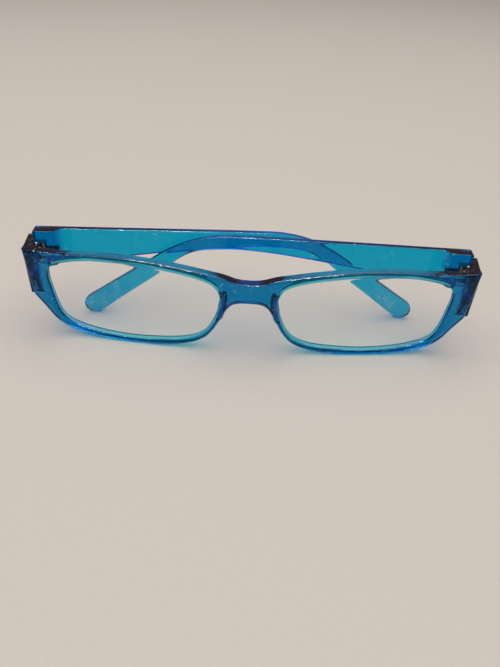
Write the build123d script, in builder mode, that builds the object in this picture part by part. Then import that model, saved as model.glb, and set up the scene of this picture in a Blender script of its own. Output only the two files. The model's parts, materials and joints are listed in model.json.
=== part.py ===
"""Folding reading glasses: a bowed full-rim front, two lenses and two folding temples.

Units are millimetres. +X is the wearer's left, -Y is the way the wearer looks, +Z is up.
The temples are folded: the wearer's right temple lies behind the left one.
While the pieces are built, x = 0 is the middle of the bridge, y = 0 the bridge's front face
and z = 0 the top of the temples. The last section moves them all together, so that the
finished model stands on z = 0 in the middle of its own outline.
"""

import os
from math import asin, cos, radians, sin, sqrt

from build123d import *

# Front
front_thickness = 3.6
bow_radius = 418.0  # plan radius of the front face

# Lens openings, each the same shape, seen from the front
opening_width = 53.2
opening_height = 27.4
bridge_gap = 17.8  # between the two openings
opening_top = -0.9  # highest point of an opening
rim_width = 2.0  # the rim's face around an opening
opening_shares = [  # across from the nose side, down from the top, as shares of width and height
    (0.914, 0.086),
    (0.780, 0.020),
    (0.622, 0.000),
    (0.453, 0.004),
    (0.274, 0.046),
    (0.111, 0.117),
    (0.032, 0.199),
    (0.000, 0.341),
    (0.013, 0.519),
    (0.047, 0.698),
    (0.100, 0.845),
    (0.182, 0.931),
    (0.321, 0.978),
    (0.528, 1.000),
    (0.716, 0.973),
    (0.857, 0.913),
    (0.938, 0.822),
    (0.976, 0.643),
    (0.994, 0.424),
    (1.000, 0.260),
]
opening_corner = (0.993, 0.195)  # the sharp upper outer corner
corner_pull = 0.5  # how strongly the outline keeps its direction where it leaves that corner

# Bridge
bridge_dip = 4.7  # top of the bridge below the temples' top
bridge_height = 6.7
bridge_shoulder = (1.6, 1.55)  # corner of the bridge's top: in from the opening, up from the dip
shoulder_run = (3.0, 1.1)  # from that corner in and down to the flat of the dip
brow_reach = 9.4  # where the brow's straight top runs into the rim, out from the opening's edge
brow_drop = 0.4  # and down from the opening's highest point
arch_steps = [(1.25, 4.4), (2.9, 1.8), (4.6, 0.35)]  # in from the opening, below the underside
arch_rise = (-0.45, 0.89)  # direction in which the arch leaves the rim
pad_height = 11.0  # moulded nose pad, along the rim
pad_depth = 3.4  # how far it stands out behind the front
pad_width = 2.6
pad_lean = 9.0  # degrees from upright, wider apart at the bottom
pad_inset = 0.6  # from the opening's edge in to the pad's middle
pad_root = 0.6  # how deep the pad is rooted in the rim
pad_taper = 8.0

# Endpieces
endpiece_reach = 7.1  # from the opening's outer edge out to the front's corner
endpiece_flare = 1.4  # how much further out its back edge and the temple are
notch_depth = 15.9  # the endpiece's outer edge, from its top down to the notch
notch_inset = 1.1
brow_run = 12.9  # where the brow leaves the rim for the endpiece, in from the opening's edge
brow_sink = 0.5  # how far inside the rim's outline it starts
brow_end_at = 2.9  # where it reaches the endpiece's top, in from the opening's edge
jaw_steps = [(2.5, 4.9), (-0.6, 9.3), (-3.1, 11.0)]  # out from the opening, below the notch
jaw_end = (8.6, 0.3)  # where the lower edge runs into the rim: in from the opening, up from it
endpiece_depth = 10.5  # from the front's corner back to the temple
endpiece_wall = 1.8  # at its back edge
endpiece_root = 3.4  # wall where it joins the front
endpiece_sink = 0.2  # how deep its inner corner is buried in the front

# Lenses
lens_edge = 1.9  # thickness in the groove
lens_crown = 0.7  # how far the middle stands forward of the edge
lens_setback = 0.95  # from the front's face to the lens
groove_depth = 0.7
lens_clearance = 0.03

# Hinges
pivot_inset = 2.8  # from the temple's outer face in to the hinge axis
pivot_setback = 2.3  # from the temple's end face to the hinge axis
joint_gap = 0.25  # between the open temple's end and the endpiece
hinge_top = 4.1  # below the temples' top
hinge_height = 4.8
knuckle_radius = 1.45
outer_knuckle = 1.4  # height of each of the front plate's two knuckles
knuckle_gap = 0.05
plate_thickness = 0.8
seat_length = 6.2  # the front plate's strap along the endpiece's wall
temple_plate_length = 5.0
screw_radius = 0.6
screw_head_radius = 1.1
screw_head_height = 0.5
screw_slot_width = 0.3
screw_slot_depth = 0.25
screw_end_gap = 0.3  # the shank stops this far below the upper knuckle's top
running_clearance = 0.03
pocket_clearance = 0.3
rivet_radius = 0.45
rivet_head_radius = 0.75
rivet_head_height = 0.3
rivet_bite = 0.8  # how deep a rivet goes into the plastic behind its plate
rivet_fit = 0.01
front_rivet_inset = 1.7  # from the endpiece's back edge to the first of its two rivets
front_rivet_spacing = 2.9
temple_rivet_x = 3.5

# Temples
temple_root_height = 12.8
temple_block = 4.2  # thickness at the hinge
temple_plate = 2.0  # thickness of the arm
block_length = 4.4  # from the hinge axis to the start of the step
step_length = 2.3
arm_heights = [(0.31, 9.8), (0.59, 6.4), (0.84, 4.6)]  # share of the way to the bend, height
bend_at = 86.8  # from the hinge axis to the corner of the ear bend
bend_angle = 33.5
bend_radius = 43.0
tip_length = 42.8  # from the bend's corner to the round tip
tip_width = 7.0
tip_widths = [(15.0, 5.2), (28.0, 6.0)]  # along from the bend's corner, width there
bend_height = 6.1  # under the bend's corner
arm_sweep = 12.0  # degrees of the inward curve, more than the arm's length needs
edge_break = 0.6  # bevel of the block's inner corner
bow_start = 55.0  # from here the arm curves in towards the head
arm_bow_radius = 590.0
fold_right = 4.0  # angle that the folded temple still makes with the front
fold_left = 1.0

# Sizes worked out from the ones above
opening_inner = bridge_gap / 2
opening_outer = opening_inner + opening_width
opening_bottom = opening_top - opening_height
half_width = opening_outer + endpiece_reach
hinge_half = half_width + endpiece_flare
corner_y = bow_radius - sqrt(bow_radius**2 - half_width**2)
endpiece_back = corner_y + endpiece_depth
pivot_x = hinge_half - pivot_inset
pivot_y = endpiece_back + joint_gap + pivot_setback
middle_knuckle = hinge_height - 2 * outer_knuckle - 2 * knuckle_gap
wall_inside = pivot_inset - endpiece_wall  # from the hinge axis out to the endpiece's wall
temple_rivet_length = temple_block - pivot_inset + plate_thickness / 2 + rivet_bite
strap_reach = joint_gap + pivot_setback + seat_length
first_rivet_y = -joint_gap - pivot_setback - front_rivet_inset
front_rivet_ys = [first_rivet_y, first_rivet_y - front_rivet_spacing]
hinge_middle = -hinge_top - hinge_height / 2
screw_length = hinge_height - screw_end_gap
tall = 80.0  # more than the height of any piece
deep = 16.0  # more than the depth of the bowed front


def opening_outline(growth=0):
    """The closed outline of the left lens opening, in x and z, grown outwards all round."""
    corner, *points = [
        Vector(opening_inner + across * opening_width, opening_top - down * opening_height)
        for across, down in [opening_corner, *opening_shares]
    ]
    loop = [corner, *points, corner]
    grown = []
    for before, here, after in zip(loop, loop[1:], loop[2:]):
        come, go = here - before, after - here
        along = come * (go.length / come.length) + go * (come.length / go.length)
        if here is points[0]:
            along = come
        if here is points[-1]:
            along = go
        grown.append(here + Vector(along.Y, -along.X).normalized() * growth)
    arrive, leave = (corner - points[-1]).normalized(), (points[0] - corner).normalized()
    spread = Vector(arrive.Y + leave.Y, -arrive.X - leave.X)
    grown_corner = corner + spread * (growth / (1 + arrive.dot(leave)))
    Spline(*grown, tangents=[leave, arrive], tangent_scalars=[corner_pull, corner_pull])
    Polyline(grown[-1], grown_corner, grown[0])


def bowed_slab(near, far):
    """A slab bowed like the front, from near to far behind the front's face."""
    with BuildPart() as slab:
        with Locations((0, bow_radius, opening_top - opening_height / 2)):
            Cylinder(bow_radius - near, tall)
            Cylinder(bow_radius - far, tall, mode=Mode.SUBTRACT)
    return slab.part


def opening_plug(growth, near, far):
    """The left opening's shape, grown all round and cut from a bowed slab."""
    with BuildPart() as plug:
        with BuildSketch(Plane.XZ):
            with BuildLine():
                opening_outline(growth)
            make_face()
        extrude(amount=-deep)
        add(bowed_slab(near, far), mode=Mode.INTERSECT)
    return plug.part


def both_sides(piece):
    """The piece and its mirror image in the middle plane."""
    return [piece, piece.mirror(Plane.YZ)]


# Front: rims, bridge and endpieces in one outline, cut from a bowed slab
with BuildPart() as front_face:
    with BuildSketch(Plane.XZ):
        with BuildLine():
            opening_outline(rim_width)
        make_face()
        with BuildLine():  # endpiece
            rim_top = opening_top + rim_width
            notch = (half_width - notch_inset, -notch_depth)
            rim_foot = (opening_outer - jaw_end[0], opening_bottom + jaw_end[1])
            inside = (opening_outer - jaw_end[0], opening_bottom / 2)
            brow_start = (opening_outer - brow_run, rim_top - brow_sink)
            brow_end = (opening_outer - brow_end_at, 0)
            Spline(brow_start, brow_end, tangents=[(1, -0.06), (1, 0)])
            Polyline(brow_end, (half_width, 0), notch)
            jaw = [(opening_outer + out, -notch_depth - down) for out, down in jaw_steps]
            Spline(notch, *jaw, rim_foot)
            Polyline(rim_foot, inside, brow_start)
        make_face()
        with BuildLine():  # half of the bridge
            underside = -bridge_dip - bridge_height
            shoulder = (opening_inner - bridge_shoulder[0], bridge_shoulder[1] - bridge_dip)
            dip_edge = (shoulder[0] - shoulder_run[0], shoulder[1] - shoulder_run[1])
            brow = (opening_inner + brow_reach, opening_top - brow_drop)
            arch = [(opening_inner - inward, underside - down) for inward, down in arch_steps]
            Spline((0, -bridge_dip), dip_edge, shoulder)
            Polyline(shoulder, brow, (brow[0], underside), arch[0])
            Spline(*arch, (0, underside), tangents=[arch_rise, (-1, 0)])
            Line((0, underside), (0, -bridge_dip))
        make_face()
        mirror(about=Plane.YZ)
    extrude(amount=-deep)
    add(bowed_slab(0, front_thickness), mode=Mode.INTERSECT)

# Endpiece: the wall that wraps back to the temple, with the hinge plate's seat in it
with BuildPart() as wall_side:
    with BuildSketch(Plane.YZ.offset(opening_outer)):
        with BuildLine():
            Polyline(
                (corner_y, 0),
                (endpiece_back, 0),
                (endpiece_back, -temple_root_height),
                (corner_y + front_thickness, -notch_depth),
                (corner_y, -notch_depth),
                close=True,
            )
        make_face()
    extrude(amount=endpiece_reach + 2 * endpiece_flare)
with BuildPart() as endpiece:
    with BuildSketch(Plane.XY):
        with BuildLine():
            Polyline(
                (half_width, corner_y),
                (hinge_half, endpiece_back),
                (hinge_half - endpiece_wall, endpiece_back),
                (half_width - endpiece_root, corner_y + front_thickness - endpiece_sink),
                (opening_outer + groove_depth, corner_y + front_thickness / 2),
                close=True,
            )
        make_face()
    extrude(amount=-notch_depth)
    add(wall_side.part, mode=Mode.INTERSECT)
    with Locations((pivot_x + wall_inside, endpiece_back - seat_length, hinge_middle)):
        Box(
            endpiece_depth,
            2 * seat_length,
            hinge_height,
            align=(Align.MAX, Align.MIN, Align.CENTER),
            mode=Mode.SUBTRACT,
        )
    for y in front_rivet_ys:
        with Locations((pivot_x + wall_inside, pivot_y + y, hinge_middle)):
            Cylinder(
                rivet_radius + rivet_fit,
                2 * rivet_bite,
                rotation=(0, 90, 0),
                mode=Mode.SUBTRACT,
            )

# Nose pad: moulded on the rim's nose side, standing out behind the front
with BuildPart() as nose_pad:
    pad_middle = (opening_inner - pad_inset, opening_top - opening_height / 2)
    with BuildSketch(Plane.XZ.offset(pad_root - front_thickness)):
        with Locations(pad_middle):
            SlotOverall(pad_height, pad_width, rotation=90 + pad_lean)
    extrude(amount=-pad_depth - pad_root, taper=pad_taper)

lens_seat = opening_plug(
    groove_depth,
    lens_setback - lens_clearance,
    lens_setback + lens_edge + lens_clearance,
)
opening_hole = opening_plug(0, -1, front_thickness + 4)
with BuildPart() as front_frame:
    add(front_face.part)
    for piece in (endpiece.part, nose_pad.part):
        add(both_sides(piece))
    for piece in (opening_hole, lens_seat):
        add(both_sides(piece), mode=Mode.SUBTRACT)


def arm_outline():
    """The side view of a temple, in its hinge frame: along the arm, and up."""
    lean = (cos(radians(bend_angle)), -sin(radians(bend_angle)))
    down = (lean[1], -lean[0])
    reach = bend_at + tip_length * lean[0]
    crown = (reach, tip_length * lean[1])

    def under(along, width):
        """A point on the underside of the bent part, past the bend's corner."""
        x = bend_at + along * lean[0] + width * down[0]
        return (x, along * lean[1] + width * down[1])

    foot = under(tip_length, tip_width)
    middle = under(tip_length, tip_width / 2)
    end = (middle[0] + tip_width / 2 * lean[0], middle[1] + tip_width / 2 * lean[1])
    root = -pivot_setback
    FilletPolyline((root, 0), (bend_at, 0), crown, radius=bend_radius)
    ThreePointArc(crown, end, foot)
    tip_side = [under(along, width) for along, width in reversed(tip_widths)]
    arm_side = [(share * bend_at, -height) for share, height in reversed(arm_heights)]
    Spline(foot, *tip_side, (bend_at, -bend_height), *arm_side, (root, -temple_root_height))
    Line((root, -temple_root_height), (root, 0))


def build_temple():
    """A temple in its hinge frame: hinge axis on Z, arm along +X, outer face towards +Y."""
    outer = pivot_inset
    bow_centre = (bow_start, outer - arm_bow_radius)
    with BuildPart() as plan:
        with BuildSketch(Plane.XY):
            with BuildLine():
                rim = CenterArc(bow_centre, arm_bow_radius, 90, -arm_sweep)
                back = CenterArc(bow_centre, arm_bow_radius - temple_plate, 90, -arm_sweep)
                Line(rim @ 1, back @ 1)
                Polyline(
                    rim @ 0,
                    (-pivot_setback, outer),
                    (-pivot_setback, outer - temple_block + edge_break),
                    (edge_break - pivot_setback, outer - temple_block),
                    (block_length, outer - temple_block),
                    (block_length + step_length, outer - temple_plate),
                    back @ 0,
                )
            make_face()
        extrude(amount=tall, both=True)
    with BuildPart() as temple:
        with BuildSketch(Plane.XZ):
            with BuildLine():
                arm_outline()
            make_face()
        extrude(amount=tall / 2, both=True)
        add(plan.part, mode=Mode.INTERSECT)
        # Pocket that the knuckles turn in, open below for the screw
        pocket = knuckle_radius + pocket_clearance
        with Locations((pocket, pocket, -hinge_top + pocket_clearance)):
            Box(
                pocket + pivot_setback + 1,
                2 * pocket + temple_block,
                temple_root_height,
                align=(Align.MAX, Align.MAX, Align.MAX),
                mode=Mode.SUBTRACT,
            )
        # Slot that the temple's hinge plate is moulded into
        with Locations((0, 0, hinge_middle)):
            Box(
                temple_plate_length,
                plate_thickness,
                middle_knuckle,
                align=(Align.MIN, Align.CENTER, Align.CENTER),
                mode=Mode.SUBTRACT,
            )
        with Locations((temple_rivet_x, outer - temple_block, hinge_middle)):
            Cylinder(
                rivet_radius + rivet_fit,
                temple_rivet_length,
                rotation=(-90, 0, 0),
                align=(Align.CENTER, Align.CENTER, Align.MIN),
                mode=Mode.SUBTRACT,
            )
    return temple.part


def build_lens():
    """The left lens: a bowed plate with a slightly crowned front, a little under its seat."""
    edge_front = lens_setback
    edge_back = lens_setback + lens_edge
    across = opening_width / 2
    crown_radius = 1 / (2 * lens_crown / across**2 + 1 / bow_radius)
    lens_x = opening_inner + across
    lens_z = opening_top - opening_height / 2
    turn = asin(lens_x / bow_radius)
    ball_out = bow_radius - edge_front + lens_crown - crown_radius
    with BuildPart() as crown:
        with Locations((ball_out * sin(turn), bow_radius - ball_out * cos(turn), lens_z)):
            Sphere(crown_radius)
        add(opening_plug(-lens_clearance, edge_front - 1, edge_back - 0.5), mode=Mode.INTERSECT)
    with BuildPart() as lens:
        add(opening_plug(groove_depth - lens_clearance, edge_front, edge_back))
        add(crown.part)
    return lens.part


def build_front_plate():
    """The hinge plate on the endpiece, in the right hinge's frame: two knuckles and a strap."""
    bottom = -hinge_top - hinge_height
    with BuildPart() as plate:
        with BuildSketch(Plane.XY.offset(bottom)):
            with Locations((-wall_inside, 0)):
                Rectangle(plate_thickness, strap_reach, align=(Align.MIN, Align.MAX))
            Circle(knuckle_radius)
        extrude(amount=hinge_height)
        with BuildSketch(Plane.XY.offset(bottom + outer_knuckle)):
            Circle(knuckle_radius + pocket_clearance)
        extrude(amount=middle_knuckle + 2 * knuckle_gap, mode=Mode.SUBTRACT)
        with Locations((0, 0, hinge_middle)):
            Cylinder(screw_radius + running_clearance, hinge_height + 1, mode=Mode.SUBTRACT)
        for y in front_rivet_ys:
            with Locations((-wall_inside, y, hinge_middle)):
                Cylinder(
                    rivet_radius + rivet_fit,
                    2 * plate_thickness + 1,
                    rotation=(0, 90, 0),
                    mode=Mode.SUBTRACT,
                )
    return plate.part


def build_temple_plate():
    """The hinge plate in the temple, in the hinge frame: one knuckle and a buried strap."""
    bottom = -hinge_top - outer_knuckle - knuckle_gap - middle_knuckle
    with BuildPart() as plate:
        with BuildSketch(Plane.XY.offset(bottom)):
            Circle(knuckle_radius)
            Rectangle(temple_plate_length, plate_thickness, align=(Align.MIN, Align.CENTER))
        extrude(amount=middle_knuckle)
        with Locations((0, 0, hinge_middle)):
            Cylinder(screw_radius + running_clearance, tall, mode=Mode.SUBTRACT)
        with Locations((temple_rivet_x, 0, hinge_middle)):
            Cylinder(rivet_radius + rivet_fit, tall, rotation=(90, 0, 0), mode=Mode.SUBTRACT)
    return plate.part


def build_screw():
    """The hinge screw, in the hinge frame: slotted head below the knuckles, plain shank."""
    head = -hinge_top - hinge_height
    with BuildPart() as screw:
        with BuildSketch(Plane.XY.offset(head)):
            Circle(screw_radius)
        extrude(amount=screw_length)
        with BuildSketch(Plane.XY.offset(head)):
            Circle(screw_head_radius)
        extrude(amount=-screw_head_height)
        with Locations((0, 0, head - screw_head_height)):
            Box(
                2 * screw_head_radius,
                screw_slot_width,
                2 * screw_slot_depth,
                mode=Mode.SUBTRACT,
            )
    return screw.part


def rivet(start, direction, length):
    """A round-shanked rivet with its flat head on the start point, running in direction."""
    with BuildPart() as shank:
        with BuildSketch(Plane(start, z_dir=direction)):
            Circle(rivet_radius)
        extrude(amount=length)
        with BuildSketch(Plane(start, z_dir=direction)):
            Circle(rivet_head_radius)
        extrude(amount=-rivet_head_height)
    return shank.part


def at_hinges(piece, folds=(0, 0)):
    """The piece, made in the right hinge's frame, set at the right and at the left hinge."""
    hinge = Location((-pivot_x, pivot_y, 0))
    right = piece.rotate(Axis.Z, folds[0]).moved(hinge)
    left = piece.rotate(Axis.Z, folds[1]).moved(hinge).mirror(Plane.YZ)
    return [right, left]


with BuildPart() as front_rivets:
    for y in front_rivet_ys:
        start = (plate_thickness - wall_inside, y, hinge_middle)
        add(rivet(start, (-1, 0, 0), plate_thickness + rivet_bite))
temple_rivet = rivet(
    (temple_rivet_x, pivot_inset - temple_block, hinge_middle),
    (0, 1, 0),
    temple_rivet_length,
)
lens_left = build_lens()
folds = (fold_right, fold_left)
pairs = {
    "lens": [lens_left.mirror(Plane.YZ), lens_left],
    "temple": at_hinges(build_temple(), folds),
    "front_hinge_plate": at_hinges(build_front_plate()),
    "temple_hinge_plate": at_hinges(build_temple_plate(), folds),
    "hinge_screw": at_hinges(build_screw()),
    "front_hinge_rivets": at_hinges(front_rivets.part),
    "temple_hinge_rivet": at_hinges(temple_rivet, folds),
}
pieces = {"front_frame": front_frame.part}
for name, (right, left) in pairs.items():
    pieces[name + "_right"] = right
    pieces[name + "_left"] = left

# Stand the folded glasses on z = 0, in the middle of their outline
boxes = [piece.bounding_box() for piece in pieces.values()]
low = Vector(*[min(tuple(box.min)[axis] for box in boxes) for axis in range(3)])
high = Vector(*[max(tuple(box.max)[axis] for box in boxes) for axis in range(3)])
stand = Location((-(low.X + high.X) / 2, -(low.Y + high.Y) / 2, -low.Z))
os.makedirs("parts", exist_ok=True)
for name, piece in pieces.items():
    placed = piece.moved(stand)
    placed.label = name
    export_step(placed, f"parts/{name}.step")
print("moved by", stand.position, "outline", high - low)
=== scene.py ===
"""Folding reading glasses: blue moulded front and temples, clear lenses and metal hinges.

Lengths are in metres. +X is the wearer's left, -Y the way the wearer looks, +Z is up.
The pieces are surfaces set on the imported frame, in the order in which the glasses are put together.
"""

import json

import bmesh
import bpy
import numpy as np
from mathutils import Matrix, Vector


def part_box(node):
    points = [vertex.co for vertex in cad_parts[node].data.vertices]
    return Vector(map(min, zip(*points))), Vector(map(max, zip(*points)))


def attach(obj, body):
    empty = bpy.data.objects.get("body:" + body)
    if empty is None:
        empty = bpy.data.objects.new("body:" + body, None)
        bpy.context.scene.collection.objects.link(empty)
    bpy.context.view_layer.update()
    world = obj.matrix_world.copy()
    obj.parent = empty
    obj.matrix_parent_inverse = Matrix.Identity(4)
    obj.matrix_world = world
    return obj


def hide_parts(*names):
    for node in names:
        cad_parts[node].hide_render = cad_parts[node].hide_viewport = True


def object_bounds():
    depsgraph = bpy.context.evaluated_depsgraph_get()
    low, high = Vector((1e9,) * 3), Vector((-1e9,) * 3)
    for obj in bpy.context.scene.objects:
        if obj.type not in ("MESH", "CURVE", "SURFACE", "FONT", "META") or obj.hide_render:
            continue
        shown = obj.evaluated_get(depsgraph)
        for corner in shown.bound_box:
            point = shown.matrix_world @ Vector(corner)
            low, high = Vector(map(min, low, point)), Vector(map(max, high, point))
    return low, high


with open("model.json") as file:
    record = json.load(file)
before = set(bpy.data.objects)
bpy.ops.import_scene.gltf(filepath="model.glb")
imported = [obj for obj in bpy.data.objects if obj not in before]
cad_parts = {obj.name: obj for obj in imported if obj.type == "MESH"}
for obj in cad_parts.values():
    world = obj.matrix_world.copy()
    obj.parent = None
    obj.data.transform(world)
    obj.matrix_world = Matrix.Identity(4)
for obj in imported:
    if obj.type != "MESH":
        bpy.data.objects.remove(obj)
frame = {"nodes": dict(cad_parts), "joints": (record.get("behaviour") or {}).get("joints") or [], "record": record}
cad_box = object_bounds()


# Front
# The rims, bridge and wrapped endpieces are one injection moulding in clear blue plastic.
# It is a slab bowed about an upright axis, with its edges rounded over and a groove for
# each lens; the nose pads are moulded on its back.
mm = 0.001
lens_low, lens_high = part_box("lens_left")
face_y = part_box("front_frame")[0].y  # front of the bridge
top_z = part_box("temple_right")[1].z  # the endpieces' and the temples' top
left_hinge = next(joint for joint in frame["joints"] if joint["name"] == "left_temple_hinge")
pivot_x, pivot_y, _ = left_hinge["pos_m"]
bow_radius = 418 * mm
front_depth = 3.6 * mm
lens_bite = 0.67 * mm  # how far a lens's edge stands in the rim
groove_depth = 0.7 * mm
groove_front, groove_back = 0.92 * mm, 2.88 * mm  # from the front's face
lens_middle_z = (lens_low.z + lens_high.z) / 2
face_rim_radius, face_rim_swell, face_edge_radius = 0.55 * mm, 1.2 * mm, 0.95 * mm
back_rim_radius, back_edge_radius = 0.4 * mm, 1.1 * mm
bridge_end, bridge_blend = 6 * mm, 5 * mm  # where the crisper bridge passes into the rims
bridge_crispness = 0.6  # its edges' radius, as a share of the rims'
lower_rim_blend = 8 * mm  # the height over which the upper rim's edge turns into the lower's
lower_rim_deeper = 0.4  # how much deeper the lower rim's inner edge drops
arc_margin = 1.15  # the outer edge's arc is given a little more room than its radius
opening_across = lens_low.x + lens_bite, lens_high.x - lens_bite
opening_down = lens_high.z - lens_bite, lens_low.z + lens_bite
opening_shares = [  # across from the nose side, down from the top
    (0.032, 0.199), (0.111, 0.117), (0.274, 0.046), (0.453, 0.004), (0.622, 0.000),
    (0.780, 0.020), (0.905, 0.078), (0.968, 0.135), (0.993, 0.205), (1.000, 0.300),
    (0.994, 0.424), (0.976, 0.643), (0.938, 0.822), (0.857, 0.913), (0.716, 0.973),
    (0.528, 1.000), (0.321, 0.978), (0.182, 0.931), (0.100, 0.845), (0.047, 0.698),
    (0.013, 0.519), (0.000, 0.341),
]  # fmt: skip
brow_line = [  # millimetres out from the middle, and down from the temples' top
    (0, 4.7), (2.6, 4.55), (4.9, 4.05), (7.3, 3.15), (12, 2.0), (17.6, 0.95), (23, 0.1),
    (28, -0.5), (33, -0.9), (38, -1.1), (44, -1.0), (50, -0.5), (55, -0.1), (60, 0),
]  # fmt: skip
jaw_line = [  # the same, along the underside from the endpiece to the bridge
    (68.1, 15.9), (66.9, 17.6), (65.6, 19.4), (64.3, 21.4), (63.0, 23.4), (61.4, 25.2),
    (59, 26.9), (55.5, 28.25), (50, 29.4), (43, 30.15), (35, 30.3), (29, 30.1),
    (24, 29.5), (19.5, 28.5), (15.5, 26.9), (12.8, 24.9), (10.9, 22.4), (9.3, 19.5),
    (7.7, 16.2), (6.3, 13.6), (4.8, 12.1), (2.8, 11.5), (0, 11.4),
]  # fmt: skip
corner = (69.2, 0)  # the same, where the face turns into the endpiece


def curve_through(points, closed=False):
    """Cubic spline through points, with continuous curvature, over its chord lengths.

    Returns the knots and a function from a length along the chords to a point. Each span is
    (P0 u^3 + P1 v^3) blended by the second derivatives M, which solve the spline's equations.
    """
    p = np.asarray(points, float)
    if closed:
        p = np.vstack([p, p[:1]])
    gap = np.linalg.norm(np.diff(p, axis=0), axis=1)
    knots = np.concatenate([[0], np.cumsum(gap)])
    count = len(p)
    system, right = np.eye(count), np.zeros_like(p)
    slope = np.diff(p, axis=0) / gap[:, None]
    inner = np.arange(1, count - 1)
    system[inner, inner - 1] = gap[:-1]
    system[inner, inner] = 2 * (gap[:-1] + gap[1:])
    system[inner, inner + 1] = gap[1:]
    right[inner] = 6 * (slope[1:] - slope[:-1])
    if closed:
        system[0] = 0
        system[0, [0, 1, count - 2]] = 2 * (gap[-1] + gap[0]), gap[0], gap[-1]
        right[0] = 6 * (slope[0] - slope[-1])
        system[-1, 0] = -1
    bend = np.linalg.solve(system, right)

    def at(length):
        span = np.clip(np.searchsorted(knots, length, "right") - 1, 0, count - 2)
        g = gap[span][:, None]
        v = (length - knots[span])[:, None] / g
        u = 1 - v
        curve = (u**3 - u) * bend[span] + (v**3 - v) * bend[span + 1]
        return u * p[span] + v * p[span + 1] + curve * g**2 / 6

    return knots, at


def eased(count, ends=0.6):
    """count shares from 0 up to, not with, 1, closer together at both ends."""
    t = np.arange(count) / count
    return t - ends * np.sin(2 * np.pi * t) / (2 * np.pi)


def evenly(points, shares):
    """Points at the given shares of the length of a path of straight runs."""
    steps = np.linalg.norm(np.diff(points, axis=0), axis=1)
    run = np.concatenate([[0], np.cumsum(steps)])
    return np.stack([np.interp(shares * run[-1], run, points[:, k]) for k in range(2)], -1)


def smooth_path(points, count=400):
    """count points along the spline through points."""
    knots, at = curve_through(points)
    return at(np.linspace(0, knots[-1], count))


def out_and_down(points):
    """Points given in millimetres out from the middle and down from the top, in metres."""
    return np.array(points, float) * (mm, -mm) + (0, top_z)


def opening_points(shares):
    """Points of the left opening, given as shares of its width and height."""
    (left, right), (top, bottom) = opening_across, opening_down
    return np.array(shares) * (right - left, bottom - top) + (left, top)


def distance_to(points, path):
    """Shortest distance from each point to a path of straight runs, in the plane."""
    a, step = path[:-1], np.diff(path, axis=0)
    size = np.maximum((step**2).sum(1), 1e-18)
    found = []
    for part in np.array_split(points, 40):  # a part at a time keeps the arrays small
        t = ((part[:, None] - a) * step).sum(2) / size
        near = a + np.clip(t, 0, 1)[..., None] * step
        found.append(np.sqrt(((part[:, None] - near) ** 2).sum(2)).min(1))
    return np.concatenate(found)


def rounded(distance, width, deep=None):
    """How far a surface drops at a distance d from a rounded edge, along a quarter ellipse.

    With the width a and the drop b at the edge itself, it is b (1 - sqrt(1 - (1 - d/a)^2)).
    """
    short = np.clip(1 - distance / width, 0, 1)
    return (width if deep is None else deep) * (1 - np.sqrt(1 - short**2))


def bow(x):
    """How far the bowed front lies behind its middle: R - sqrt(R^2 - x^2)."""
    return bow_radius - np.sqrt(bow_radius**2 - x**2)


def square_to(path):
    """Unit vectors square to a closed path, on the left of the way that it runs."""
    along = np.roll(path, -1, 0) - np.roll(path, 1, 0)
    return np.stack([-along[:, 1], along[:, 0]], -1) / np.linalg.norm(along, axis=1)[:, None]


def grid_faces(rows, columns, keep):
    """The kept quads of a grid that closes on itself both ways, as corner numbers."""
    i, j = np.meshgrid(np.arange(rows), np.arange(columns), indexing="ij")
    right, up = (i + 1) % rows, (j + 1) % columns
    quads = [i * columns + j, right * columns + j, right * columns + up, i * columns + up]
    return np.stack(quads, -1)[keep].tolist()


def tube_faces(rows, columns, capped=()):
    """Faces of a grid that closes on itself along its rows only, with the named rows filled in."""
    keep = np.ones((rows, columns), bool)
    keep[-1] = False
    caps = [list(range(row * columns, (row + 1) * columns)) for row in capped]
    return grid_faces(rows, columns, keep) + caps


def make_mesh(name, points, faces, sharp=35):
    """A mesh object from arrays, welded, with outward normals and crisp edges kept."""
    mesh = bpy.data.meshes.new(name)
    mesh.from_pydata(points.reshape(-1, 3), [], faces)
    piece = bpy.data.objects.new(name, mesh)
    bpy.context.scene.collection.objects.link(piece)
    bm = bmesh.new()
    bm.from_mesh(mesh)
    bmesh.ops.remove_doubles(bm, verts=bm.verts, dist=1e-6)
    bmesh.ops.dissolve_degenerate(bm, edges=bm.edges, dist=1e-7)
    bmesh.ops.recalc_face_normals(bm, faces=bm.faces)
    bm.to_mesh(mesh)
    bm.free()
    shade(mesh, sharp)
    return piece


def shade(mesh, sharp=35):
    """Smooth shading, with edges sharper than the angle kept crisp."""
    mesh.shade_smooth()
    mesh.set_sharp_from_angle(angle=np.radians(sharp))


def combine(piece, others, operation):
    """The piece joined to, or cut by, closed meshes, which are then removed."""
    for other in others:
        step = piece.modifiers.new(other.name, "BOOLEAN")
        step.operation, step.solver, step.object = operation, "MANIFOLD", other
        graph = bpy.context.evaluated_depsgraph_get()
        mesh = bpy.data.meshes.new_from_object(piece.evaluated_get(graph))
        piece.modifiers.clear()
        piece.data = mesh
        bpy.data.objects.remove(other)
    shade(piece.data)


def block(name, low, high):
    """A plain box between two opposite corners, used as a cutter."""
    round_once = [(0, 0), (1, 0), (1, 1), (0, 1)]
    pick = np.array([(*xy, z) for z in (0, 1) for xy in round_once])
    points = np.take_along_axis(np.array([low, high]), pick, 0)
    sides = [[0, 3, 2, 1], [4, 5, 6, 7], [0, 1, 5, 4], [1, 2, 6, 5], [2, 3, 7, 6], [3, 0, 4, 7]]
    return make_mesh(name, points, sides)


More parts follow.
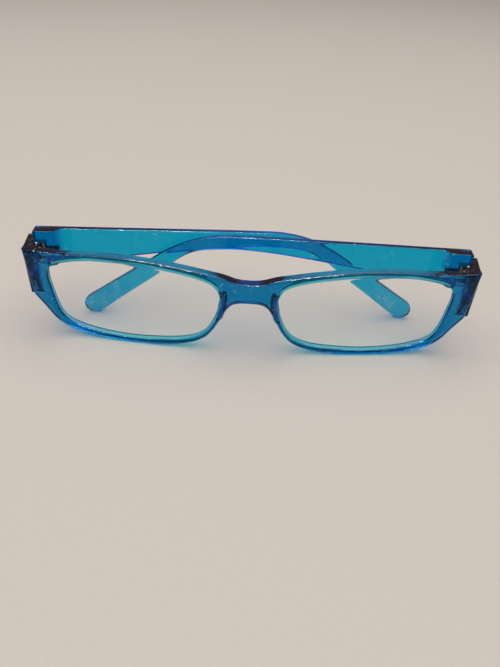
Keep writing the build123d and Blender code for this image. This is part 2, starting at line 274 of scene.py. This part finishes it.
def half_front():
    """Points and faces of the left half of the front, a profile carried round the opening.

    Rows follow the opening. A row's profile runs over the face from the opening to the outer
    edge, round it, back over the rear face and through the lens groove. The face's depth is
    the bow plus the drop of the nearer rounded edge.
    """
    knots, opening = curve_through(opening_points(opening_shares), closed=True)
    brow = np.vstack([smooth_path(out_and_down(brow_line)), out_and_down([corner])])
    side = out_and_down([corner, jaw_line[0]])
    jaw = smooth_path(out_and_down(jaw_line), 700)
    middle = np.array([jaw[-1], brow[0]])
    # Each run of the outer edge, the opening's knots that it faces, and its number of rows.
    outer_runs = [(brow, 0, 7, 170), (side, 7, 10, 36), (jaw, 10, 21, 230), (middle, 21, 22, 26)]
    inner, outer, runs = [], [], []
    for run, (path, first, last, count) in enumerate(outer_runs):
        shares = eased(count)
        outer.append(evenly(path, shares))
        inner.append(opening(knots[first] + shares * (knots[last] - knots[first])))
        runs += [run] * count
    inner, outer, runs = np.vstack(inner), np.vstack(outer), np.array(runs)
    rows = len(inner)
    length = np.linalg.norm(outer - inner, axis=1)
    rim = np.vstack([inner, inner[:1]])
    edge = np.vstack([brow, side, jaw])
    turn = np.linspace(0, np.pi / 2, 7)

    def sheet(inner_radius, outer_radius, swell=0.0):
        """Places across the rim, with both edges' arcs evenly divided, and the drop there.

        The lower rim's inner edge is softer, by swell, than the upper one's.
        """
        near = (inner_radius + swell / 2) * (1 - np.cos(turn))
        far = arc_margin * outer_radius * (1 - np.cos(turn))
        start, end = near[-1] / length, 1 - far[-1] / length
        shares = np.linspace(start, end, 7)[1:-1].T
        across = np.concatenate([near / length[:, None], shares, 1 - far[::-1] / length[:, None]], 1)
        flat = inner[:, None] + (outer - inner)[:, None] * across[..., None]
        plain = flat.reshape(-1, 2)
        past_bridge = np.clip((plain[:, 0] - bridge_end) / bridge_blend, 0, 1)
        radius = outer_radius * (bridge_crispness + (1 - bridge_crispness) * past_bridge)
        lower = np.clip(0.5 - (plain[:, 1] - lens_middle_z) / lower_rim_blend, 0, 1)
        deep = inner_radius * (1 + lower_rim_deeper * lower * (swell > 0))
        soft = rounded(distance_to(plain, rim), inner_radius + swell * lower, deep)
        drop = np.maximum(soft, rounded(distance_to(plain, edge), radius))
        return flat, drop.reshape(flat.shape[:2])

    face, face_drop = sheet(face_rim_radius, face_edge_radius, face_rim_swell)
    back, back_drop = sheet(back_rim_radius, back_edge_radius)
    face_y_at = bow(face[..., 0]) + face_drop
    back_y_at = bow(back[..., 0]) + front_depth - back_drop
    wall = np.linspace(0, 1, 5)[1:-1]
    wall_flat = np.repeat(face[:, -1:], len(wall), 1)
    wall_y = face_y_at[:, -1:] + (back_y_at[:, -1:] - face_y_at[:, -1:]) * wall
    floor = inner + square_to(inner) * groove_depth
    groove_flat = np.stack([inner, floor, floor, inner], 1)
    groove_walls = np.repeat([groove_back, groove_front], 2)
    groove_y = bow(groove_flat[..., 0]) + groove_walls
    flat = np.concatenate([face, wall_flat, back[:, ::-1], groove_flat], 1)
    depth = np.concatenate([face_y_at, wall_y, back_y_at[:, ::-1], groove_y], 1)
    points = np.stack([flat[..., 0], face_y + depth, np.maximum(flat[..., 1], cad_box[0][2])], -1)
    columns = points.shape[1]
    keep = np.ones((rows, columns), bool)
    first = face.shape[1] - 1
    keep[runs == runs[-1], first : first + len(wall) + 1] = False  # the halves meet here
    return points, grid_faces(rows, columns, keep)


def rounded_prism(name, outline, top, bottom, radius):
    """A closed prism on a plan outline, with its top and bottom edges rounded over.

    Rings run from the middle of the top, out over the rounded edge, down the side and back to
    the middle of the underside, whose height may differ at each point of the outline.
    """
    inward = square_to(outline)
    middle = outline.mean(0)
    turn = np.linspace(0, np.pi / 2, 6)
    rings = [(0.02, 0, 0), (0.5, 0, 0)]  # share of the way out, inset and drop
    rings += [(1, radius * (1 - np.sin(t)), radius * (1 - np.cos(t))) for t in turn]
    points = []
    for level, side in ((top, -1), (bottom, 1)):
        stack = []
        for share, inset, drop in rings:
            plan = middle + (outline + inward * inset - middle) * share
            stack.append(np.column_stack([plan, level + side * drop * np.ones(len(outline))]))
        points += stack if side < 0 else stack[::-1]
    points = np.array(points)
    rows, columns = points.shape[:2]
    return make_mesh(name, points, tube_faces(rows, columns, capped=(0, rows - 1)))


def superellipsoid(name, centre, sizes, lean, power=2.6):
    """A closed pill that leans over about Y: x, y, z are signed powers of cosines and sines.

    With e = 2 / power, x = a cos^e(u) cos^e(v), y = b cos^e(u) sin^e(v) and z = c sin^e(u).
    """
    around = np.linspace(0, 2 * np.pi, 48, endpoint=False)
    up = np.linspace(-np.pi / 2, np.pi / 2, 28)
    curve = 2 / power
    c, s = np.cos(around), np.sin(around)
    cu, su = np.cos(up)[:, None], np.sin(up)[:, None]
    ring = np.abs(cu) ** curve
    x = sizes[0] * ring * np.sign(c) * np.abs(c) ** curve
    y = sizes[1] * ring * np.sign(s) * np.abs(s) ** curve
    z = sizes[2] * np.sign(su) * np.abs(su) ** curve * np.ones_like(c)
    ca, sa = np.cos(lean), np.sin(lean)
    points = np.stack([x * ca - z * sa, y, x * sa + z * ca], -1) + centre
    return make_mesh(name, points, tube_faces(*points.shape[:2]))


endpiece_back = pivot_y - 2.55 * mm  # its rear edge, a joint's gap short of the temple's end
endpiece_wall = 1.8 * mm
endpiece_edge_radius = 0.6 * mm
corner_x, corner_y = corner[0] * mm, face_y + bow(corner[0] * mm)
endpiece_plan = np.array([  # from the face's corner along the outer side, and back inside
    [corner_x - 0.1 * mm, corner_y + 0.15 * mm],
    [cad_box[1][0] - 0.05 * mm, endpiece_back],
    [cad_box[1][0] - endpiece_wall, endpiece_back],
    [corner_x - 3.4 * mm, corner_y + 3.4 * mm],
    [corner_x - 6.2 * mm, corner_y + 1.8 * mm],
])  # fmt: skip
endpiece_corner_radii = np.array([0.9, 0.3, 0.3, 0.3, 0.3]) * mm
front_drop, root_drop = 15.9 * mm, 12.8 * mm  # the underside at the front and at the temple
pad_centre = (8.3 * mm, face_y + front_depth + 0.5 * mm, top_z - 14.6 * mm)
pad_half_sizes = (1.3 * mm, 2.9 * mm, 5.5 * mm)
pad_lean = np.radians(9)
seat_inner, seat_outer = 60 * mm, 68.8 * mm  # out from the middle
seat_top, seat_bottom = 4.1 * mm, 8.9 * mm  # down from the top
seat_depth = 6.2 * mm  # ahead of the endpiece's rear edge
well_behind = 1.0  # metres, past everything


def round_corners(plan, radius, count=7):
    """A closed plan outline with an arc in place of each corner, as one array of points.

    A corner of half angle h has its arc's centre r / sin(h) along the line that halves it.
    """
    before, after = np.roll(plan, 1, 0) - plan, np.roll(plan, -1, 0) - plan
    before /= np.linalg.norm(before, axis=1)[:, None]
    after /= np.linalg.norm(after, axis=1)[:, None]
    half = np.arccos((before * after).sum(1)) / 2
    halving = (before + after) / np.linalg.norm(before + after, axis=1)[:, None]
    centre = plan + halving * (radius / np.sin(half))[:, None]
    reach = (radius / np.tan(half))[:, None]
    start, end = plan + before * reach - centre, plan + after * reach - centre
    swing = np.arctan2(start[:, 0] * end[:, 1] - start[:, 1] * end[:, 0], (start * end).sum(1))
    angle = swing[:, None] * np.linspace(0, 1, count)
    c, s = np.cos(angle), np.sin(angle)
    x = centre[:, :1] + start[:, :1] * c - start[:, 1:] * s
    y = centre[:, 1:] + start[:, :1] * s + start[:, 1:] * c
    return np.stack([x, y], -1).reshape(-1, 2)


def endpiece(name):
    """The left wall that wraps back to the temple, its underside rising to the temple's root."""
    plan = round_corners(endpiece_plan, endpiece_corner_radii)
    past_front = plan[:, 1] - corner_y - front_depth
    back = np.clip(past_front / (endpiece_back - corner_y - front_depth), 0, 1)
    bottom = top_z - front_drop + (front_drop - root_drop) * back
    return rounded_prism(name, plan, top_z, bottom, endpiece_edge_radius)


def nose_pad(name):
    """The left nose pad, moulded on the rim's nose side and standing out behind it."""
    return superellipsoid(name, pad_centre, pad_half_sizes, pad_lean)


def mirrored(piece):
    """A copy of a piece on the other side of the middle plane."""
    twin = bpy.data.objects.new(piece.name + "_twin", piece.data.copy())
    bpy.context.scene.collection.objects.link(twin)
    points = np.empty(len(twin.data.vertices) * 3)
    twin.data.vertices.foreach_get("co", points)
    twin.data.vertices.foreach_set("co", points * np.tile((-1, 1, 1), len(points) // 3))
    twin.data.flip_normals()
    return twin


left_points, left_faces = half_front()
left_points = left_points.reshape(-1, 3)
right_points = left_points * (-1, 1, 1)
right_faces = np.array(left_faces)[:, ::-1] + len(left_points)
both_points, both_faces = np.vstack([left_points, right_points]), left_faces + right_faces.tolist()
front = make_mesh("front_moulding", both_points, both_faces)
wall, pad = endpiece("endpiece"), nose_pad("nose_pad")
combine(front, [wall, mirrored(wall), pad, mirrored(pad)], "UNION")


def plug(tree, made, inputs):
    """Fills a node's inputs: a value is set on the socket itself, and a socket is linked."""
    for name, value in inputs.items():
        if isinstance(value, bpy.types.NodeSocket):
            tree.links.new(value, made.inputs[name])
        else:
            made.inputs[name].default_value = value


def node(tree, kind, inputs, **settings):
    """A shader node with its settings and its inputs."""
    made = tree.nodes.new(kind)
    for name, value in settings.items():
        setattr(made, name, value)
    plug(tree, made, inputs)
    return made


def noise(tree, place, scale, detail):
    """Smooth noise, mostly between 0.3 and 0.7, with about scale lumps to a metre."""
    inputs = {"Vector": place, "Scale": scale, "Detail": detail}
    return node(tree, "ShaderNodeTexNoise", inputs).outputs["Fac"]


def grains(tree, place, scale, far, near):
    """Round spots that grow from nothing at far to full at near, and a random number for each."""
    cells = node(tree, "ShaderNodeTexVoronoi", {"Vector": place, "Scale": scale, "Randomness": 1.0})
    return spread(tree, cells.outputs["Distance"], far, near), cells.outputs["Color"]


def spread(tree, value, start, end, low=0.0, high=1.0):
    """value moved from the range start to end on to the range low to high, and held there."""
    inputs = {"Value": value, "From Min": start, "From Max": end, "To Min": low, "To Max": high}
    return node(tree, "ShaderNodeMapRange", inputs).outputs["Result"]


def blend(tree, share, first, second):
    """A colour that passes from first to second as share goes from 0 to 1."""
    inputs = {0: share, 6: first, 7: second}
    return node(tree, "ShaderNodeMix", inputs, data_type="RGBA").outputs[2]


def work_out(tree, operation, *values):
    """One step of arithmetic on values and sockets."""
    inputs = dict(enumerate(values))
    return node(tree, "ShaderNodeMath", inputs, operation=operation).outputs["Value"]


def relief(tree, height, strength, distance):
    """A surface direction that height bends, for a shader's Normal."""
    inputs = {"Height": height, "Strength": strength, "Distance": distance}
    return node(tree, "ShaderNodeBump", inputs).outputs["Normal"]


def new_material(name):
    """A node material, its tree, Principled shader and output, and the object's coordinates."""
    material = bpy.data.materials.new(name)
    material.use_nodes = True
    tree = material.node_tree
    tree.nodes.clear()
    shader = tree.nodes.new("ShaderNodeBsdfPrincipled")
    output = node(tree, "ShaderNodeOutputMaterial", {"Surface": shader.outputs["BSDF"]})
    place = tree.nodes.new("ShaderNodeTexCoord").outputs["Object"]
    return material, tree, shader, output, place


def let_light_through(tree, shader, output, colour):
    """Rays that only carry light to other things pass straight through, and are tinted."""
    ray = tree.nodes.new("ShaderNodeLightPath")
    lit = work_out(tree, "MAXIMUM", ray.outputs["Is Shadow Ray"], ray.outputs["Is Diffuse Ray"])
    thin = node(tree, "ShaderNodeBsdfTransparent", {"Color": colour})
    choice = {0: lit, 1: shader.outputs["BSDF"], 2: thin.outputs["BSDF"]}
    both = node(tree, "ShaderNodeMixShader", choice)
    plug(tree, output, {"Surface": both.outputs["Shader"]})


plastic_density = 2400.0  # how fast depth_colour's missing light is taken up, per metre
grain_fade = 6 * mm  # the height over which the grains thin out


def clear_blue_plastic(name, depth_colour, grain_height):
    """Clear moulding plastic: light is taken up by its thickness, and the skin shows handling.

    Fine waves from the mould and hairline scratches bend the gloss, smears make it uneven, and
    pale grains and dust stand on it, closely set below grain_height and sparse elsewhere. A
    painted reflection tint colours the gloss cyan on the sides and warm white on faces that look up.
    """
    material, tree, shader, output, place = new_material(name)
    let_light_through(tree, shader, output, (0.95, 0.97, 0.98, 1.0))
    taken_up = {"Color": (*depth_colour, 1), "Density": plastic_density}
    absorb = node(tree, "ShaderNodeVolumeAbsorption", taken_up)
    plug(tree, output, {"Volume": absorb.outputs["Volume"]})

    cloud = noise(tree, place, scale=60.0, detail=2.0)
    body = blend(tree, cloud, (0.87, 0.975, 0.99, 1), (0.93, 0.995, 1.0, 1))
    # Painted reflection colour: the gloss is tinted cyan on faces that look sideways and warm white on faces that
    # look up.
    facing = tree.nodes.new("ShaderNodeTexCoord").outputs["Normal"]
    upward = node(tree, "ShaderNodeSeparateXYZ", {0: facing}).outputs["Z"]
    level = spread(tree, upward, 0.5, 0.95)
    painted_reflection_tint = blend(tree, level, (0.22, 0.80, 0.92, 1), (1.0, 0.86, 0.78, 1))

    spot, number = grains(tree, place, scale=2400.0, far=0.34, near=0.20)
    height = node(tree, "ShaderNodeSeparateXYZ", {0: place}).outputs["Z"]
    least = spread(tree, height, grain_height, grain_height - grain_fade, low=0.86, high=0.52)
    speck = work_out(tree, "MULTIPLY", spot, work_out(tree, "GREATER_THAN", number, least))

    smear = noise(tree, place, scale=90.0, detail=4.0)
    film = spread(tree, smear, 0.35, 0.75, low=0.03, high=0.11)
    rough = work_out(tree, "MULTIPLY_ADD", speck, 0.42, film)
    stretch = {"Vector": place, "Scale": (90.0, 2200.0, 2200.0), "Rotation": (0.3, 0.2, 0.5)}
    drawn_out = node(tree, "ShaderNodeMapping", stretch).outputs["Vector"]
    scratch = spread(tree, noise(tree, drawn_out, scale=1.0, detail=3.0), 0.66, 0.74)
    wave = noise(tree, place, scale=260.0, detail=1.0)
    waves = work_out(tree, "MULTIPLY_ADD", scratch, -0.10, wave)
    lumps = work_out(tree, "MULTIPLY_ADD", speck, 0.2, waves)
    plug(tree, shader, {
        "Transmission Weight": 1.0, "IOR": 1.49, "Base Color": body, "Specular Tint": painted_reflection_tint,
        "Roughness": rough, "Metallic": speck,
        "Normal": relief(tree, lumps, strength=0.12, distance=0.0002),
    })  # fmt: skip
    return material


# The hinge leaves' seats are milled into the backs of the endpieces.
for side in (-1, 1):
    left, right = sorted((side * seat_inner, side * seat_outer))
    low = (left, endpiece_back - seat_depth, top_z - seat_bottom)
    high = (right, well_behind, top_z - seat_top)
    combine(front, [block("seat", low, high)], "DIFFERENCE")

front_plastic = clear_blue_plastic("front_plastic_blue", (0.0, 0.855, 0.942), grain_height=0.0)
front.data.materials.clear()
front.data.materials.append(front_plastic)
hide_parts("front_frame")
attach(front, "front")


# Lenses
# Each is a clear moulded blank, bowed like the front, its middle crowned forward for reading.
# Its edge is snapped into the rim's groove from behind.
lens_setback = 0.95 * mm  # its edge's face, behind the front's
lens_edge, lens_crown = 1.9 * mm, 0.35 * mm
edge_ease = 0.12 * mm  # taken off the two corners of the edge
crown_margin = 0.09  # share of the lens over which the crown fades in


def lens(name, side):
    """A lens as rings that shrink from its edge to its middle, on its front and on its rear.

    The front stands forward of the bow by c (1 - (r/R)^2), fading to nothing inside the rim.
    """
    knots, opening = curve_through(opening_points(opening_shares), closed=True)
    edge = opening(np.linspace(0, knots[-1], 241)[:-1])
    seat = edge + square_to(edge) * lens_bite
    middle = np.array([np.mean(opening_across), np.mean(opening_down)])
    half = (opening_across[1] - opening_across[0]) / 2
    shares = np.concatenate([[1, 0.985], np.linspace(0.97, 0.9, 5), np.linspace(0.86, 0.02, 18)])
    flat = middle + (seat - middle) * shares[:, None, None]
    radius = np.linalg.norm(flat - middle, axis=2)
    fade = np.clip((1 - shares[:, None]) / crown_margin, 0, 1)
    fade = fade * fade * (3 - 2 * fade)
    swell = lens_crown * (1 - (radius / half) ** 2) * fade
    ahead = bow(flat[..., 0]) + lens_setback - np.maximum(swell, 0)
    behind = bow(flat[..., 0]) + lens_setback + lens_edge
    ahead[0] += edge_ease
    behind[0] -= edge_ease
    flat = np.concatenate([flat[::-1], flat])
    depth = np.concatenate([ahead[::-1], behind])
    points = np.stack([side * flat[..., 0], face_y + depth, flat[..., 1]], -1)
    rows, columns = points.shape[:2]
    return make_mesh(name, points, tube_faces(rows, columns, capped=(0, rows - 1)), sharp=50)


def lens_material():
    """Clear optical plastic with a few specks of dust and faint smears."""
    material, tree, shader, output, place = new_material("lens_clear")
    let_light_through(tree, shader, output, (0.99, 0.995, 0.995, 1.0))
    spot, number = grains(tree, place, scale=420.0, far=0.085, near=0.045)
    speck = work_out(tree, "MULTIPLY", spot, work_out(tree, "GREATER_THAN", number, 0.62))
    tint = blend(tree, speck, (0.985, 0.995, 0.99, 1), (0.55, 0.52, 0.48, 1))
    smear = noise(tree, place, scale=45.0, detail=3.0)
    film = spread(tree, smear, 0.5, 0.8, low=0.0, high=0.06)
    rough = work_out(tree, "MULTIPLY_ADD", speck, 0.6, film)
    plug(tree, shader, {
        "Transmission Weight": 1.0, "IOR": 1.5, "Specular Tint": (0.25, 0.30, 0.30, 1.0),
        "Base Color": tint, "Roughness": rough,
    })  # fmt: skip
    return material


def ground_edge():
    """The lens's ground edge: milky, and matt from grinding, both a little unevenly."""
    material, tree, shader, _, place = new_material("lens_ground_edge")
    cloud = noise(tree, place, scale=700.0, detail=3.0)
    plug(tree, shader, {
        "Transmission Weight": 0.45,
        "Base Color": blend(tree, cloud, (0.62, 0.64, 0.64, 1), (0.86, 0.88, 0.88, 1)),
        "Roughness": spread(tree, cloud, 0.0, 1.0, low=0.5, high=0.8),
        "Normal": relief(tree, cloud, strength=0.3, distance=0.0001),
    })
    return material


clear, ground = lens_material(), ground_edge()
for side, word in ((-1, "right"), (1, "left")):
    glass = lens(f"lens_{word}_clear", side)
    glass.data.materials.append(clear)
    glass.data.materials.append(ground)
    normals = np.empty(3 * len(glass.data.polygons))
    glass.data.polygons.foreach_get("normal", normals)
    edge_on = np.abs(normals[1::3]) < 0.7  # neither the front nor the rear surface
    glass.data.polygons.foreach_set("material_index", edge_on.astype(np.int32))
    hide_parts(f"lens_{word}")
    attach(glass, "front")


# Temples
# Each arm is moulded flat, with a thick block at the hinge that steps down to a thin plate,
# and a paddle bent down to sit behind the ear. A notch in the block clears the knuckles.
pivot_inset, pivot_setback = 2.8 * mm, 2.3 * mm  # the hinge axis from the outer and end faces
block_depth, plate_depth = 4.2 * mm, 2.0 * mm
step_from, step_to = 4.4 * mm, 6.7 * mm  # along from the hinge axis
root_ease = 0.7 * mm  # rounds the root's end over, above and below
bend_at, bend_radius, bend_turn = 86.8 * mm, 43 * mm, np.radians(33.5)
tip_length, tip_width = 42.8 * mm, 7.0 * mm
bow_from, arm_bow_radius = 55 * mm, 590 * mm
edge_radius = 0.45 * mm
notch_reach = 1.75 * mm  # the knuckles' radius and a running gap
notch_top = 3.8 * mm  # down from the top
notch_far_corner = (-9 * mm, -9 * mm, -40 * mm)  # past the arm on its open sides
underside = [  # millimetres along from the hinge axis and down from the top, up to the bend
    (-2.3, 12.8), (12, 11.35), (27, 9.75), (51, 6.45), (65, 5.0), (73, 4.65), (80, 4.95), (87, 6.15),
]  # fmt: skip
tip_side = [(15, 5.2), (28, 6.0), (42.8, 7.0)]  # millimetres along the bent part, and its width


def arm_edges():
    """Matching points along the top and the underside of an arm, seen from the side.

    The top is straight, then an arc, then straight; the underside is a spline; the tip's two
    edges close on each other round a half circle.
    """
    lean = np.array([np.cos(bend_turn), -np.sin(bend_turn)])
    under = np.array([lean[1], -lean[0]])
    tangent = bend_radius * np.tan(bend_turn / 2)
    arc = np.linspace(0, bend_turn, 40)
    start = np.array([bend_at - tangent, -bend_radius])
    curve = start + bend_radius * np.stack([np.sin(arc), np.cos(arc)], -1)
    crown = np.array([bend_at, 0]) + lean * tip_length
    top_path = np.vstack([[-pivot_setback, 0], curve, crown])
    points = np.array(underside) * (mm, -mm)
    bent = [np.array([bend_at, 0]) + lean * a * mm + under * w * mm for a, w in tip_side]
    under_path = smooth_path(np.vstack([points, bent]), 600)
    first = edge_radius * (1 - np.cos(np.linspace(0, np.pi / 2, 6)))[:-1]
    foot, heel = step_from + pivot_setback, step_to + pivot_setback
    plate_from = heel + 3 * mm
    block_run = [
        first,
        np.linspace(edge_radius, foot, 24)[:-1],
        np.linspace(foot, heel, 8)[:-1],
        np.linspace(heel, plate_from, 8)[:-1],
    ]

    def placed_along(path):
        """Points along one edge, close together near the hinge, and their drop at the root."""
        length = np.linalg.norm(np.diff(path, axis=0), axis=1).sum()
        plate_run = np.linspace(plate_from, length, 190)
        placed = evenly(path, np.concatenate(block_run + [plate_run]) / length)
        return placed, rounded(placed[:, 0] + pivot_setback, root_ease)

    (top, top_drop), (bottom, bottom_drop) = placed_along(top_path), placed_along(under_path)
    top[:, 1] -= top_drop
    bottom[:, 1] += bottom_drop
    hub = crown + under * tip_width / 2
    turn = np.linspace(0, np.pi / 2, 26)[1:, None]
    ahead, across = lean * np.sin(turn), under * np.cos(turn)
    top = np.vstack([top, hub + (ahead - across) * tip_width / 2])
    bottom = np.vstack([bottom, hub + (ahead + across) * tip_width / 2])
    return top, bottom


def temple_shape():
    """An arm in its hinge's frame: two faces between its edges, joined by its sides.

    Each face drops by a quarter round near the outline, and the rear face steps in behind the
    hinge block. Past bow_from the arm follows a circle of radius R: in = R - sqrt(R^2 - u^2).
    """
    top, bottom = arm_edges()
    height = np.linalg.norm(bottom - top, axis=1)[:, None]
    ease = 1 - np.cos(np.linspace(0, np.pi / 2, 6))
    near = np.minimum(edge_radius, height / 2) * ease
    between = np.linspace(0, 1, 7)[1:-1]
    middle = near[:, -1:] + (height - 2 * near[:, -1:]) * between
    across = np.concatenate([near, middle, height - near[:, ::-1]], 1) / np.maximum(height, 1e-9)
    flat = top[:, None] + (bottom - top)[:, None] * across[..., None]
    outline = np.vstack([top, bottom[::-1], top[:1]])
    drop = rounded(distance_to(flat.reshape(-1, 2), outline), edge_radius).reshape(flat.shape[:2])
    along = np.clip((flat[..., 0] - step_from) / (step_to - step_from), 0, 1)
    depth = block_depth + (plate_depth - block_depth) * along
    flat = np.concatenate([flat, flat[:, ::-1]], 1)
    inset = np.concatenate([drop, (depth - drop)[:, ::-1]], 1)
    bent = np.maximum(flat[..., 0] - bow_from, 0)
    inward = arm_bow_radius - np.sqrt(arm_bow_radius**2 - bent**2)
    return np.stack([flat[..., 0], pivot_inset - inset - inward, flat[..., 1]], -1)


def temple(name, side, fold):
    """An arm set at its hinge and folded, with the notch for the knuckles cut out of it."""
    c, s = np.cos(fold), np.sin(fold)

    def placed(points):
        """Points of the hinge's own frame, turned by fold about it and set on their side."""
        x = points[..., 0] * c - points[..., 1] * s - pivot_x
        y = points[..., 0] * s + points[..., 1] * c + pivot_y
        return np.stack([-side * x, y, top_z + points[..., 2]], -1)

    points = temple_shape()
    arm = make_mesh(name, placed(points), tube_faces(*points.shape[:2], capped=(0,)))
    cutter = block("notch", notch_far_corner, (notch_reach, notch_reach, -notch_top))
    corners = np.array([v.co for v in cutter.data.vertices])
    cutter.data.vertices.foreach_set("co", placed(corners).ravel())
    if side > 0:
        cutter.data.flip_normals()
    combine(arm, [cutter], "DIFFERENCE")
    return arm


mounts = {mount["name"]: mount for mount in frame["record"]["mounts"]}
temple_plastic = clear_blue_plastic("temple_plastic_blue", (0.0, 0.858, 0.952), grain_height=14 * mm)
for side, word in ((-1, "right"), (1, "left")):
    outward = mounts[f"{word}_temple_side"]["axis"]
    fold = np.arctan2(abs(outward[0]), outward[1])
    arm = temple(f"temple_{word}_moulding", side, fold)
    arm.data.materials.clear()
    arm.data.materials.append(temple_plastic)
    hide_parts(f"temple_{word}")
    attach(arm, f"temple_{word}")


# Hinges
# Each is a pair of stamped, nickel-plated leaves on a slotted screw, riveted to the plastic.
# The plating is brushed up and down and dulled in patches by fingers and sweat; its colour
# is kept dark all over as painted shade.
def plated_metal():
    """Nickel plate, coloured dark all over as painted shade: brushed streaks bend the gloss, and tarnish darkens
    patches of it.
    """
    material, tree, shader, _, place = new_material("hinge_nickel")
    patch = noise(tree, place, scale=900.0, detail=4.0)
    stretch = {"Vector": place, "Scale": (9000.0, 9000.0, 600.0)}
    brushed = node(tree, "ShaderNodeMapping", stretch).outputs["Vector"]
    streak = noise(tree, brushed, scale=1.0, detail=3.0)
    plug(tree, shader, {
        "Metallic": 1.0,
        # Painted shade: both tones are far darker than bare nickel, so the knuckles look shaded in the notch; the
        # noise between them is tarnish.
        "Base Color": blend(tree, patch, (0.24, 0.25, 0.24, 1), (0.09, 0.10, 0.09, 1)),
        "Roughness": spread(tree, streak, 0.0, 1.0, low=0.18, high=0.45),
        "Normal": relief(tree, streak, strength=0.15, distance=0.00005),
    })
    return material


nickel = plated_metal()
hinge_pieces = (
    "front_hinge_plate", "temple_hinge_plate", "hinge_screw", "front_hinge_rivets",
    "temple_hinge_rivet",
)  # fmt: skip
for word in ("right", "left"):
    for part in hinge_pieces:
        metal = frame["nodes"][f"{part}_{word}"]
        metal.data.materials.clear()
        metal.data.materials.append(nickel)


# Floor
# A wide, pale table top that the folded glasses lie on. It is a matt cream laminate, in one
# plain tone that is barely mottled.
floor_half = 6.0


def table_top():
    """A flat square on z = 0 and its finish."""
    floor_corners = np.array([(-1, -1, 0), (1, -1, 0), (1, 1, 0), (-1, 1, 0)]) * floor_half
    floor = make_mesh("floor", floor_corners, [[0, 1, 2, 3]])
    material, tree, shader, _, place = new_material("floor_cream")
    mottle = noise(tree, place, scale=900.0, detail=3.0)
    plug(tree, shader, {
        "Base Color": blend(tree, mottle, (0.70, 0.65, 0.60, 1), (0.66, 0.61, 0.565, 1)),
        "Roughness": 0.7,
        "Specular IOR Level": 0.15,
    })
    floor.data.materials.append(material)


table_top()


# Light
# A large soft lamp overhead and a weaker one from the side, in a dim warm room. A third is a
# strip that only shows in the gloss of rounded edges.
def soft_lamp(name, place, size, power, colour):
    """An area lamp at place that faces the glasses, as wide and as high as size tells."""
    lamp = bpy.data.lights.new(name, "AREA")
    lamp.shape, lamp.size, lamp.size_y = "RECTANGLE", size[0], size[1]
    lamp.energy, lamp.color = power, colour
    holder = bpy.data.objects.new(name, lamp)
    holder.location = place
    holder.rotation_euler = (-Vector(place)).to_track_quat("-Z", "Y").to_euler()
    bpy.context.scene.collection.objects.link(holder)
    return holder


soft_lamp("overhead", (0.05, -0.05, 1.0), size=(1.5, 1.4), power=10.4, colour=(1.0, 0.985, 0.965))
soft_lamp("window", (-0.9, 0.1, 0.55), size=(0.4, 0.4), power=1.0, colour=(0.97, 0.99, 1.0))
strip = soft_lamp("glints", (-0.1, -0.35, 0.95), size=(0.45, 0.22), power=9.0, colour=(1.0, 0.99, 0.97))
strip.visible_diffuse = False
strip.visible_transmission = False
world = bpy.data.worlds.new("room")
world.use_nodes = True
background = world.node_tree.nodes["Background"]
plug(world.node_tree, background, {"Color": (0.86, 0.77, 0.71, 1), "Strength": 0.30})
bpy.context.scene.world = world
bpy.context.scene.view_settings.view_transform = "Standard"


# Camera
# It stands above and in front of the glasses, close to them, with a moderately wide lens, and
# is rolled a little to one side.
view_azimuth, view_elevation, view_roll = np.radians([0.579, 37.999, 2.883])
eye = np.array([2.26, -152.361, 116.432]) * mm
focal_length, sensor_width = 40.32, 36.0  # both in millimetres
ca, sa = np.cos(view_azimuth), np.sin(view_azimuth)
ce, se = np.cos(view_elevation), np.sin(view_elevation)
back = np.array([sa * ce, -ca * ce, se])
right = np.array([ca, sa, 0.0])
up = np.cross(back, right)
cr, sr = np.cos(view_roll), np.sin(view_roll)
right, up = right * cr + up * sr, up * cr - right * sr
lens_data = bpy.data.cameras.new("camera")
lens_data.sensor_fit = "HORIZONTAL"
lens_data.sensor_width = sensor_width
lens_data.lens = focal_length
lens_data.clip_start = 0.005
camera = bpy.data.objects.new("camera", lens_data)
camera.matrix_world = Matrix([[right[k], up[k], back[k], eye[k]] for k in range(3)] + [[0, 0, 0, 1]])
bpy.context.scene.collection.objects.link(camera)
bpy.context.scene.camera = camera
